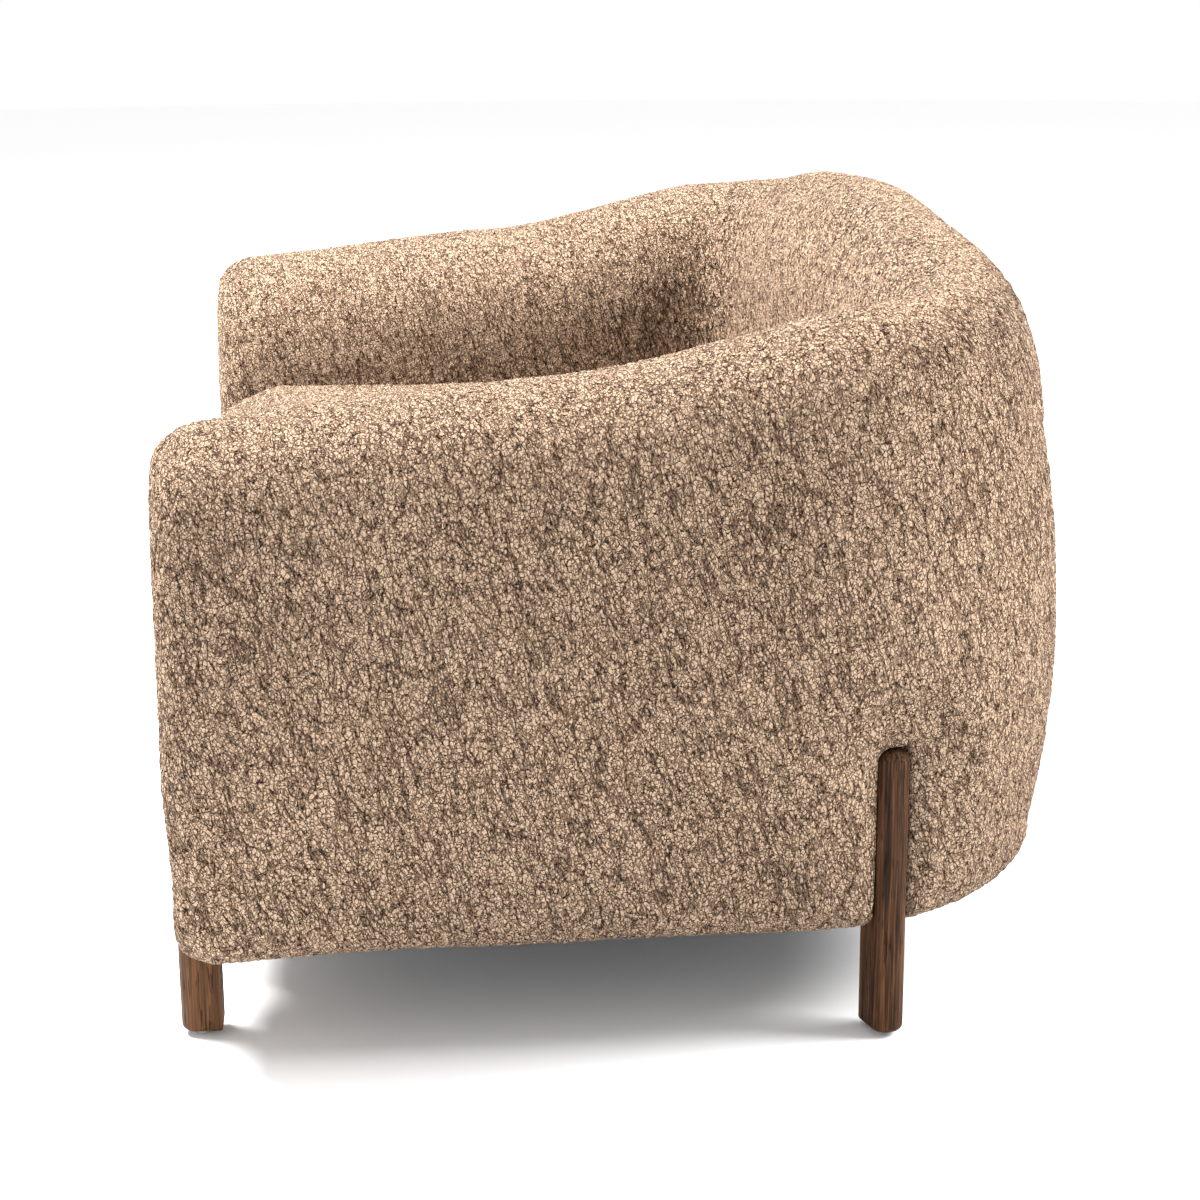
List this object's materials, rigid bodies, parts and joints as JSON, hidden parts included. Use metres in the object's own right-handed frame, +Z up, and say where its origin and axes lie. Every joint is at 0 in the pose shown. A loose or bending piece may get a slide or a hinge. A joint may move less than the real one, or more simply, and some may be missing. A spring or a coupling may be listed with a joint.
{
  "type": "sofa",
  "caption": "Compact two-seat tub sofa with a wraparound padded arm and back wall, loose bench cushion and D-section wooden legs.",
  "frame": {"origin": "on the floor, under the centre of the sofa", "axes": "+Z up, -Y out of the front of the seat, +X to the side of the left arm of a person sitting on it"},
  "size_m": [1.472, 0.95, 0.78],
  "materials": {
    "pile_fabric": "looped pile",
    "padding_foam": "open-cell foam",
    "wadding": "soft",
    "deck_cloth": "plain weave",
    "dust_cloth": "non-woven",
    "webbing": "woven elastic",
    "leg_wood": "dark stained, open grain, satin",
    "frame_wood": "planed, unfinished",
    "panel_ply": "plywood, unfinished",
    "spring_steel": "oiled",
    "fixing_steel": "zinc plated",
    "glide_plastic": "satin",
    "zip_tape": "woven tape"
  },
  "bodies": {
    "sofa": {"arm_inner_panels": "panel_ply", "arm_outer_panels": "panel_ply", "arm_posts": "frame_wood", "back_cover": "pile_fabric", "back_outer_panel": "panel_ply", "back_padding": "padding_foam", "back_posts": "frame_wood", "back_tacking_rails": "frame_wood", "back_top_rail": "frame_wood", "back_webbing": "webbing", "bolt_washers": "fixing_steel", "centre_back_post": "frame_wood", "centre_stretcher": "frame_wood", "corner_braces": "panel_ply", "corner_inner_panels": "panel_ply", "corner_outer_panels": "panel_ply", "corner_posts": "frame_wood", "deck_cloth": "deck_cloth", "deck_foam": "padding_foam", "dust_cover": "dust_cloth", "dust_cover_staples": "fixing_steel", "front_border_cover": "pile_fabric", "front_border_padding": "padding_foam", "front_posts": "frame_wood", "front_rail": "frame_wood", "glides": "glide_plastic", "left_arm_cover": "pile_fabric", "left_arm_padding": "padding_foam", "left_arm_top_rail": "frame_wood", "left_corner_cover": "pile_fabric", "left_corner_padding": "padding_foam", "left_corner_rail": "frame_wood", "left_corner_top_rail": "frame_wood", "left_front_leg": "leg_wood", "left_rear_leg": "leg_wood", "left_side_rail": "frame_wood", "leg_bolts": "fixing_steel", "leg_inserts": "fixing_steel", "rear_rail": "frame_wood", "right_arm_cover": "pile_fabric", "right_arm_padding": "padding_foam", "right_arm_top_rail": "frame_wood", "right_corner_cover": "pile_fabric", "right_corner_padding": "padding_foam", "right_corner_rail": "frame_wood", "right_corner_top_rail": "frame_wood", "right_front_leg": "leg_wood", "right_rear_leg": "leg_wood", "right_side_rail": "frame_wood", "seat_springs": "spring_steel", "spring_clips": "fixing_steel"},
    "seat_cushion": {"cushion_cover_top": "pile_fabric", "cushion_cover_bottom": "pile_fabric", "cushion_wadding_top": "wadding", "cushion_wadding_bottom": "wadding", "cushion_foam": "padding_foam", "cushion_zip": "zip_tape", "zip_slider": "fixing_steel"}
  },
  "joints": [
    {"name": "cushion_lift", "type": "slide", "parent": "sofa", "child": "seat_cushion", "axis": [0, 0, 1], "range_m": [0, 0.25]}
  ]
}
